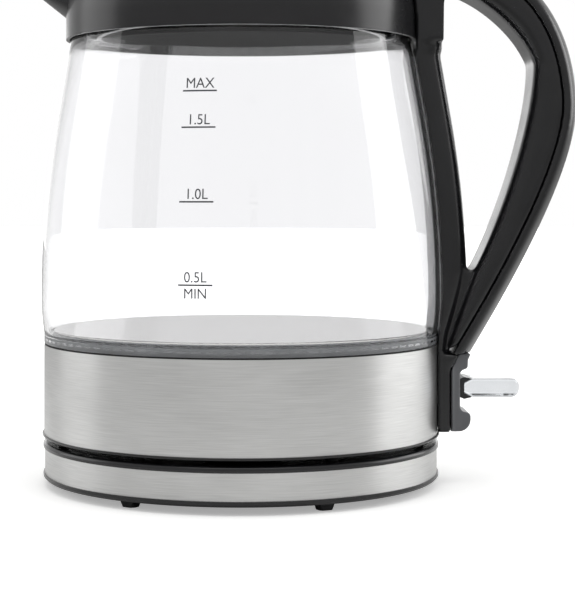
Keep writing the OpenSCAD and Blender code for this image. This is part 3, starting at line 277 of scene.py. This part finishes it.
# %% [markdown]
# ## Finishes for the CAD parts
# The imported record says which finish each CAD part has, and the table joins the record's names to the materials
# above. A part keeps its own CAD mesh unless a piece made below replaces it.

# %% Give each CAD part its material
FINISHES = {"black_plastic": black_plastic, "dark_plastic": dark_plastic, "inner_plastic": inner_plastic,
            "brushed_steel": steel, "polished_steel": polished, "zinc_steel": zinc, "brass": brass,
            "aluminium": aluminium, "rubber": rubber, "silicone": silicone, "glass": glass,
            "clear_acrylic": acrylic}
slot_of = {part["node"]: part["material_slot"] for part in frame["record"]["subparts"]}
for name, part in nodes.items():
    part.data.materials.clear()
    part.data.materials.append(FINISHES[slot_of[name]])
print("finishes:", sorted(set(slot_of.values())))

# %% [markdown]
# ## Surfaces from profiles and grids
# A turned part is a profile, distance from the axis against height, carried round the axis. A grid of points
# becomes a mesh by joining each point to its neighbours. Points that fall on one another, as on the axis, are
# merged, so every solid is closed.

# %% Helpers for meshes
def grid_faces(rows, columns, close_rows=False, close_columns=False):
    """Quads of a grid: each joins a point to the next in its row and to the same two in the next row."""
    i = np.arange(rows if close_rows else rows - 1)[:, None]
    j = np.arange(columns if close_columns else columns - 1)[None, :]
    a, b = i * columns + j, i * columns + (j + 1) % columns
    c, d = (i + 1) % rows * columns + (j + 1) % columns, (i + 1) % rows * columns + j
    return np.stack([a, b, c, d], axis=-1).reshape(-1, 4)


CREASE_DEG = 30


def solid(name, points, faces, material, body, replaced=()):
    """A closed, smooth-shaded piece from points in millimetres, with sharp edges above CREASE_DEG."""
    mesh = bpy.data.meshes.new(name)
    mesh.from_pydata((np.asarray(points).reshape(-1, 3) * MM).tolist(), [], [list(map(int, f)) for f in faces])
    work = bmesh.new()
    work.from_mesh(mesh)
    bmesh.ops.remove_doubles(work, verts=work.verts, dist=1e-7)
    bmesh.ops.recalc_face_normals(work, faces=work.faces)
    open_edges = sum(len(edge.link_faces) != 2 for edge in work.edges)
    work.to_mesh(mesh)
    work.free()
    mesh.polygons.foreach_set("use_smooth", np.ones(len(mesh.polygons), bool))
    mesh.set_sharp_from_angle(angle=math.radians(CREASE_DEG))
    mesh.materials.append(material)
    made = bpy.data.objects.new(name, mesh)
    bpy.context.scene.collection.objects.link(made)
    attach(made, body)
    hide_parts(*replaced)
    print(name, len(mesh.polygons), "faces,", open_edges, "open edges")
    return made


def turned(name, profile, material, body, replaced, steps):
    """Revolves a closed profile of (radius, height) points: x = r cos a, y = r sin a, z = height."""
    profile = np.asarray(profile, float)
    angle = np.linspace(0, 2 * np.pi, steps, endpoint=False)[:, None]
    points = np.stack([profile[:, 0] * np.cos(angle), profile[:, 0] * np.sin(angle),
                       profile[:, 1] + 0 * angle], axis=-1)
    faces = grid_faces(steps, len(profile), close_rows=True, close_columns=True)
    return solid(name, points, faces, material, body, replaced)


# %% [markdown]
# ## Soft edges for the moulded parts
# No edge on a moulded part is a true corner: the tool's edges are rounded a little, and that is where light
# catches. Each part here is a copy of its CAD mesh, whose loose triangles are merged into one skin. On most
# parts a Bevel rounds the sharp edges, and weighted normals keep the flat faces flat. The handle, the switch's
# housing and the paddle curve in every direction, so they are built again as a skin of small even faces and
# smoothed a few times, which rounds all their edges alike.

# %% Helper for soft edges
SHARP_DEG, BEVEL_STEPS = 38, 2


def softened(node, edge_mm, material=None, even_mm=0, passes=0):
    """A merged copy of a CAD part, with edges sharper than SHARP_DEG rounded to a width in millimetres.

    Where even_mm is set, the part is rebuilt as a skin of small even faces of that size instead, and each pass
    moves every point halfway to the mean of its neighbours, which rounds all edges alike.
    """
    part = nodes[node]
    mesh = part.data.copy()
    mesh.name = name = node + "_soft"
    work = bmesh.new()
    work.from_mesh(mesh)
    bmesh.ops.remove_doubles(work, verts=work.verts, dist=2e-6)
    bmesh.ops.dissolve_limit(work, angle_limit=math.radians(0.2), verts=work.verts, edges=work.edges)
    open_edges = sum(len(edge.link_faces) != 2 for edge in work.edges)
    work.to_mesh(mesh)
    work.free()
    mesh.polygons.foreach_set("use_smooth", np.ones(len(mesh.polygons), bool))
    mesh.set_sharp_from_angle(angle=math.radians(SHARP_DEG))
    mesh.materials.clear()
    mesh.materials.append(material or FINISHES[slot_of[node]])
    made = bpy.data.objects.new(name, mesh)
    bpy.context.scene.collection.objects.link(made)
    if even_mm:
        even = made.modifiers.new("even", "REMESH")
        even.mode, even.voxel_size, even.use_smooth_shade = "VOXEL", even_mm * MM, True
        even.adaptivity = 0
        melt = made.modifiers.new("melt", "SMOOTH")
        melt.factor, melt.iterations = 0.5, passes
    else:
        bevel = made.modifiers.new("edges", "BEVEL")
        bevel.width, bevel.segments, bevel.limit_method = edge_mm * MM, BEVEL_STEPS, "ANGLE"
        bevel.angle_limit, bevel.use_clamp_overlap, bevel.harden_normals = math.radians(SHARP_DEG), True, False
        weighted = made.modifiers.new("normals", "WEIGHTED_NORMAL")
        weighted.keep_sharp = True
    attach(made, body_of[node])
    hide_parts(node)
    print(name, len(mesh.polygons), "faces,", open_edges, "open edges")
    return made


# %% [markdown]
# ## Moulded parts with soft edges
# The first table gives the width of each part's rounded edges. The second gives the size of the even faces and
# the number of passes for the parts that are built again as a skin. The base's cover alone takes another
# finish, the glossier black, and so differs from its slot's.

# %% Moulded parts with soft edges
body_of = {name: body for body, names in frame["record"]["behaviour"]["bodies"].items() for name in names}
EDGES = {"top_collar": 0.4, "lid_cover": 0.4, "lid_button": 0.4, "connector_housing": 0.2, "base_tray": 0.3,
         "jug_bottom": 0.25, "spout_filter_frame": 0.2, "switch_lever": 0.25, "base_cover": 0.3}
SKINS = {"switch_paddle": (0.4, 14), "handle_frame": (0.75, 10), "handle_cover": (0.7, 5),
         "switch_housing": (0.45, 4)}
OTHER_FINISH = {"base_cover": gloss_plastic}
for node, edge_mm in EDGES.items():
    softened(node, edge_mm, OTHER_FINISH.get(node))
for node, (even_mm, passes) in SKINS.items():
    softened(node, 0, even_mm=even_mm, passes=passes)

# %% [markdown]
# ## The button's spring
# A coil spring pushes the lid's button up. It is a helix of round wire: a small circle carried round and up. The
# button goes down by 2.5 mm; the spring is drawn at its free height of about 9 mm.

# %% Button spring
WIRE_R, TURNS, PRESS, WIRE_SIDES, TURN_STEPS = 0.45, 4, 2.5, 12, 48
spring_low, spring_high = (np.array(corner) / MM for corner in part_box("button_spring"))
middle, free_h = (spring_low + spring_high) / 2, spring_high[2] - spring_low[2]
coil_r = (spring_high[0] - spring_low[0]) / 2 - WIRE_R
along = np.linspace(0, 1, TURN_STEPS * TURNS + 1)[:, None]
turn = 2 * np.pi * TURNS * along
round_wire = np.linspace(0, 2 * np.pi, WIRE_SIDES, endpoint=False)[None, :]
reach = coil_r + WIRE_R * np.cos(round_wire)
points = np.stack([middle[0] + reach * np.cos(turn), middle[1] + reach * np.sin(turn),
                   spring_low[2] + WIRE_R + (free_h - 2 * WIRE_R) * along + WIRE_R * np.sin(round_wire)], axis=-1)
last = WIRE_SIDES * (len(along) - 1)
ends = [list(range(WIRE_SIDES)), list(range(last, last + WIRE_SIDES))]
faces = grid_faces(len(along), WIRE_SIDES, close_columns=True).tolist() + ends
spring = solid("coil_spring", points, faces, zinc, body_of["button_spring"],
               ("button_spring",))
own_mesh(spring)

# %% [markdown]
# ## The glass jug
# The jug is blown into a mould: a straight flange at its foot, a soft belly, and sides that close in to the
# mouth, whose edge is rounded in a flame. A lathe profile suits it: the outside is one smooth curve, and the
# inside is the same curve moved in along its normals. The foot and the mouth are 3 mm thick, as in the CAD
# model, and the wall between them is drawn 1.5 mm thick, because a thin wall bends less of what lies behind
# its edge. The step at the foot is short: a long taper would act as a prism.

# %% Glass jug
GLASS_STEPS = 256
BAND_R, BAND_TOP, GLASS_H, WALL, THIN, MOUTH_R = 78.1, 55.4, 126.0, 3.0, 1.5, 66.6
FLANGE_TOP, BELLY_Z, BELLY_R, NECK_L = BAND_TOP + 4.6, BAND_TOP + 18.6, 79.2, 38.0
GLASS_TOP = BAND_TOP + GLASS_H
rise, fall = GLASS_TOP - BELLY_Z, BELLY_R - MOUTH_R
tangent = (rise ** 2 + fall ** 2 - NECK_L ** 2) / (2 * (rise + NECK_L))
neck_turn = math.asin(fall / (tangent + NECK_L))
bulge_r = tangent / math.tan(neck_turn / 2)
low_r = ((BELLY_Z - FLANGE_TOP) ** 2 + (BELLY_R - BAND_R) ** 2) / (2 * (BELLY_R - BAND_R))


def arc(centre, radius, start, end, steps=8):
    """Points of an arc from one angle to another, in degrees."""
    a = np.radians(np.linspace(start, end, steps))
    return np.stack([centre[0] + radius * np.cos(a), centre[1] + radius * np.sin(a)], axis=-1)


low_turn = -math.degrees(math.acos(1 - (BELLY_R - BAND_R) / low_r))
lean = np.array([math.sin(neck_turn), -math.cos(neck_turn)])
outside = np.concatenate([
    arc([BELLY_R - low_r, BELLY_Z], low_r, low_turn, 0, 12),
    arc([BELLY_R - bulge_r, BELLY_Z], bulge_r, 0, math.degrees(neck_turn), 40)[1:-1],
    np.array([MOUTH_R, GLASS_TOP]) + np.linspace(NECK_L, 1.2, 10)[:, None] * lean])
along = np.gradient(outside, axis=0)
inward = np.stack([-along[:, 1], along[:, 0]], axis=-1) / np.linalg.norm(along, axis=1)[:, None]
wall = np.interp(outside[:, 1], [GLASS_TOP - 7, GLASS_TOP - 2], [THIN, WALL])
inside = (outside + inward * wall[:, None])[::-1]
foot_z = BAND_TOP + 0.6
mouth = np.array([MOUTH_R - 0.5 * WALL, GLASS_TOP - 1.0])
jug_profile = np.concatenate([
    [[BAND_R - WALL, foot_z]], arc([BAND_R - 0.5, foot_z + 0.5], 0.5, -90, 0, 5),
    [[BAND_R, FLANGE_TOP - 0.4]], outside, arc(mouth, WALL / 2, 10, 170, 13), inside,
    [[BAND_R - WALL, FLANGE_TOP - 0.8]]])
turned("jug_glass", jug_profile, glass, "jug", ("glass_jug",), GLASS_STEPS)

# %% [markdown]
# ## The seal's face in the glass foot
# The seal is pressed against the inside of the glass's foot. Where rubber wets glass there is no air between
# them, and the foot looks filled with the rubber's colour right out to its edge. So this ring is set 0.05 mm
# into the glass. Two plain ribs touch all round; between them is a row of small teeth. Each tooth is a smooth
# pulse, 1 / (1 + e to the power -8 cos(teeth x angle)), so its sides are soft.

# %% Seal face
TEETH, TOOTH_STEPS, TOOTH_SHARPNESS = 90, 8, 8
CLEAR, CONTACT, RING_DEPTH = 0.35, 0.4, 1.2
foot_in = BAND_R - WALL
angle = np.linspace(0, 2 * np.pi, TEETH * TOOTH_STEPS, endpoint=False)[:, None]
tooth = 1 / (1 + np.exp(-TOOTH_SHARPNESS * np.cos(TEETH * angle)))
levels = np.array([0.7, 0.9, 1.9, 2.0, 2.6, 2.7, 3.5, 3.7])
touch = np.array([0.0, 1.0, 1.0, 0.0, 0.0, 1.0, 1.0, 0.0])
gear = np.array([0.0, 0.0, 0.0, 1.0, 1.0, 0.0, 0.0, 0.0])
face_r = foot_in - CLEAR + CONTACT * np.maximum(touch, gear * tooth)
back_r = 0 * angle + foot_in - RING_DEPTH
ring_r = np.concatenate([face_r, back_r, back_r], axis=1)
ring_z = np.concatenate([levels, levels[[-1, 0]]]) + BAND_TOP
points = np.stack([ring_r * np.cos(angle), ring_r * np.sin(angle), ring_z + 0 * angle], axis=-1)
faces = grid_faces(len(angle), len(levels) + 2, close_rows=True, close_columns=True)
solid("seal_face", points, faces, silicone, "jug")

# %% [markdown]
# ## Litre marks
# The marks are printed on the front of the glass, to the left of the middle. Each is a short line with its
# number above it, and MIN stands under the lowest. The lettering starts as text, is turned into a mesh with a
# little thickness, and is then wrapped round the glass: its width becomes an angle, and its height picks the
# glass's radius there.

# %% Litre marks
MARK_AZIMUTH = -90 - 11.85
MARKS = {"0.5L": 26.5, "1.0L": 56.1, "1.5L": 82.8, "MAX": 96.0}
LETTER_H, LETTER_UP, MIN_H, MIN_UP = 3.7, 1.0, 3.6, -4.75
LINE_HALF, LINE_HALF_THICK, LINE_STEPS, INK_DEPTH, INK_GAP = 6.25, 0.285, 16, 0.05, 0.02
CAPITAL_H, NARROWING = 0.69, 0.92


def glass_radius(z):
    """The glass's outer radius at a height, read off its profile."""
    return np.interp(z, outside[:, 1], outside[:, 0])


def wrap(points, z0):
    """Wraps flat (across, up, out) millimetres round the glass: angle = across / radius, at height z0 + up."""
    across, up, out = np.asarray(points, float).T
    radius = glass_radius(z0 + up)
    angle = np.radians(MARK_AZIMUTH) + across / radius
    far = radius + INK_GAP + out
    return np.stack([far * np.cos(angle), far * np.sin(angle), z0 + up], axis=-1)


def lettering(text, height_mm):
    """The points and faces of a word, centred across, standing on zero, as a thin closed solid."""
    curve = bpy.data.curves.new("word", "FONT")
    curve.body, curve.size, curve.extrude = text, 1.0, 0.5
    curve.align_x, curve.resolution_u = "CENTER", 6
    word = bpy.data.objects.new("word", curve)
    mesh = bpy.data.meshes.new_from_object(word)
    co = np.zeros(len(mesh.vertices) * 3, np.float32)
    mesh.vertices.foreach_get("co", co)
    co = co.reshape(-1, 3).astype(float)
    faces = [list(p.vertices) for p in mesh.polygons]
    bpy.data.objects.remove(word)
    scale = height_mm / CAPITAL_H
    return np.stack([co[:, 0] * scale * NARROWING, co[:, 1] * scale, (co[:, 2] + 0.5) * INK_DEPTH], axis=-1), faces


mark_points, mark_faces = [], []


def add_mark(points, faces):
    """Adds a wrapped shape to the print, with its faces counted on from those before it."""
    base = sum(len(p) for p in mark_points)
    mark_points.append(points)
    mark_faces.extend([[base + v for v in f] for f in faces])


for text, height in MARKS.items():
    z0 = BAND_TOP + height
    letters, faces = lettering(text, LETTER_H)
    add_mark(wrap(letters + [0, LETTER_UP, 0], z0), faces)
    across = np.linspace(-LINE_HALF, LINE_HALF, LINE_STEPS)
    up, out = np.array([-1, 1, 1, -1]) * LINE_HALF_THICK, np.array([0, 0, 1, 1]) * INK_DEPTH
    line = np.stack([across[:, None] + 0 * up, up + 0 * across[:, None], out + 0 * across[:, None]], axis=-1)
    last = 4 * (LINE_STEPS - 1)
    ends = [[3, 2, 1, 0], [last, last + 1, last + 2, last + 3]]
    sides = grid_faces(LINE_STEPS, 4, close_columns=True)
    add_mark(wrap(line.reshape(-1, 3), z0), np.concatenate([sides, ends]).tolist())
letters, faces = lettering("MIN", MIN_H)
add_mark(wrap(letters + [0, MIN_UP, 0], BAND_TOP + MARKS["0.5L"]), faces)
solid("litre_marks", np.concatenate(mark_points), mark_faces, ink, "jug")

# %% [markdown]
# ## Floor
# The kettle stands on a pale floor in a white studio. The floor is matt white, and a little light of its own,
# seen only by the camera and through glass, brings it up to the white of the backdrop while it keeps the
# object's soft shadow. In reflections the floor's colour is painted grey away from the kettle: a painted shade
# for the falloff of a studio floor beyond its lamps.

# %% Floor
FLOOR_HALF = 6
GLOW_NEAR, GLOW_FAR, GLOW_LOW = 0.3, 0.9, 0.35
PAINTED_SHADE_NEAR, PAINTED_SHADE_FAR, FLOOR_WHITE, FLOOR_PAINTED_SHADE = 0.15, 0.7, "#f4f4f3", "#b2b2b1"
corners = [(x * FLOOR_HALF, y * FLOOR_HALF, 0) for x, y in ((-1, -1), (1, -1), (1, 1), (-1, 1))]
floor_mesh = bpy.data.meshes.new("floor")
floor_mesh.from_pydata(corners, [], [(0, 1, 2, 3)])
floor = bpy.data.objects.new("floor", floor_mesh)
bpy.context.scene.collection.objects.link(floor)
floor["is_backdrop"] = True
white, tree, shader = new_material("white_studio_floor", Roughness=0.9)
path = add(tree, "ShaderNodeLightPath")
seen = add(tree, "ShaderNodeMath", links={0: (path, "Is Camera Ray"), 1: (path, "Is Transmission Ray")},
           operation="MAXIMUM")
coords = add(tree, "ShaderNodeTexCoord")
far = add(tree, "ShaderNodeVectorMath", links={0: (coords, "Object")}, operation="LENGTH")
lift = add(tree, "ShaderNodeMapRange",
           {"From Min": GLOW_NEAR, "From Max": GLOW_FAR, "To Min": GLOW_LOW, "To Max": 1.0},
           {"Value": (far, "Value")}, interpolation_type="SMOOTHSTEP")
level = add(tree, "ShaderNodeMath", links={0: (seen, "Value"), 1: (lift, "Result")}, operation="MULTIPLY")
# Painted shade: seen in reflections, the floor's colour fades from white to grey with distance from the kettle.
away = add(tree, "ShaderNodeMapRange", {"From Min": PAINTED_SHADE_NEAR, "From Max": PAINTED_SHADE_FAR},
           {"Value": (far, "Value")}, interpolation_type="SMOOTHSTEP")
painted_shade_in_reflections = add(tree, "ShaderNodeMath", links={0: (path, "Is Glossy Ray"), 1: (away, "Result")},
               operation="MULTIPLY")
paint = add(tree, "ShaderNodeMix", {6: linear(FLOOR_WHITE), 7: linear(FLOOR_PAINTED_SHADE)}, {0: (painted_shade_in_reflections, "Value")},
            data_type="RGBA")
tree.links.new(paint.outputs[2], shader.inputs["Base Color"])
glow = add(tree, "ShaderNodeEmission", {"Color": (1, 1, 1, 1)}, {"Strength": (level, "Value")})
both = add(tree, "ShaderNodeAddShader", links={0: (shader, "BSDF"), 1: (glow, "Emission")})
tree.links.new(both.outputs["Shader"], tree.nodes["Material Output"].inputs["Surface"])
floor_mesh.materials.append(white)
print("floor", 2 * FLOOR_HALF, "m across")

# %% [markdown]
# ## Backdrop
# The backdrop is plain white to the camera and no brighter than white through glass. In reflections it is a
# room: a ramp of greys runs round the kettle from the front to the back, where the wall is brighter than
# white, and blends into one grey overhead. That gives the steel its bright sides and darker middle.

# %% Backdrop
ROOM = ((0.0, 0.6), (0.18, 0.5), (0.42, 0.42), (0.8, 0.5), (0.92, 0.8), (1.0, 2.2))
CEILING, CEILING_FROM = 0.66, 0.22
world = bpy.data.worlds.new("white_studio")
world.use_nodes = True
tree = world.node_tree
tree.nodes.clear()
coords = add(tree, "ShaderNodeTexCoord")
split = add(tree, "ShaderNodeSeparateXYZ", links={"Vector": (coords, "Generated")})
level_x = add(tree, "ShaderNodeCombineXYZ", links={"X": (split, "X"), "Y": (split, "Y")})
flat = add(tree, "ShaderNodeVectorMath", links={0: (level_x, "Vector")}, operation="NORMALIZE")
facing = add(tree, "ShaderNodeSeparateXYZ", links={"Vector": (flat, "Vector")})
half = add(tree, "ShaderNodeMapRange", {"From Min": -1.0, "From Max": 1.0}, {"Value": (facing, "Y")})
walls = add(tree, "ShaderNodeValToRGB", links={"Fac": (half, "Result")})
walls.color_ramp.interpolation = "EASE"
stops = walls.color_ramp.elements
for place, value in ROOM:
    stop = stops[0] if place == 0.0 else stops[-1] if place == 1.0 else stops.new(place)
    stop.color = (value, value, value, 1)
high = add(tree, "ShaderNodeMapRange", {"From Min": 0.0, "From Max": CEILING_FROM}, {"Value": (split, "Z")},
           interpolation_type="SMOOTHSTEP")
room = add(tree, "ShaderNodeMix", {3: CEILING}, {0: (high, "Result"), 2: (walls, "Color")})
path = add(tree, "ShaderNodeLightPath")
capped = add(tree, "ShaderNodeMath", {1: 1.0}, {0: (room, "Result")}, operation="MINIMUM")
through = add(tree, "ShaderNodeMix", links={0: (path, "Is Transmission Ray"), 2: (room, "Result"),
                                            3: (capped, "Value")})
strength = add(tree, "ShaderNodeMix", {3: 1.0}, {0: (path, "Is Camera Ray"), 2: (through, "Result")})
sky = add(tree, "ShaderNodeBackground", {"Color": (1, 1, 1, 1)}, {"Strength": (strength, "Result")})
add(tree, "ShaderNodeOutputWorld", links={"Surface": (sky, "Background")})
bpy.context.scene.world = world
print("backdrop: room from", min(v for _, v in ROOM), "to", max(v for _, v in ROOM))

# %% [markdown]
# ## Lamps
# Two wide soft lamps at the sides and one above add to the backdrop's light. The right one is the stronger.

# %% Lamps
def lamp(name, place, aim, width, height, watts):
    """A soft rectangular lamp at a place, turned to face a point."""
    data = bpy.data.lights.new(name, "AREA")
    data.shape, data.size, data.size_y, data.energy = "RECTANGLE", width, height, watts
    made = bpy.data.objects.new(name, data)
    back = np.array(place) - np.array(aim)
    across = math.atan2(back[0], -back[1])
    made.rotation_euler = (math.atan2(math.hypot(back[0], back[1]), back[2]), 0, across)
    made.location = place
    bpy.context.scene.collection.objects.link(made)


LAMP_AIM = (0, 0, 0.1)
lamp("left_lamp", (-1.3, 0.35, 0.42), LAMP_AIM, width=0.9, height=0.8, watts=2.5)
lamp("right_lamp", (1.32, 0.35, 0.42), LAMP_AIM, width=1.2, height=0.8, watts=6.3)
lamp("top_lamp", (0.0, -0.2, 1.6), LAMP_AIM, width=1.4, height=1.4, watts=8)
bpy.context.scene.view_settings.view_transform = "Standard"

# %% [markdown]
# ## Sizes
# The looks are not to change the object's size. The box of what is seen, the floor left out, is printed.

# %% Print the box of what is seen
low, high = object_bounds()
print("visual box from", [round(v, 4) for v in low], "to", [round(v, 4) for v in high])
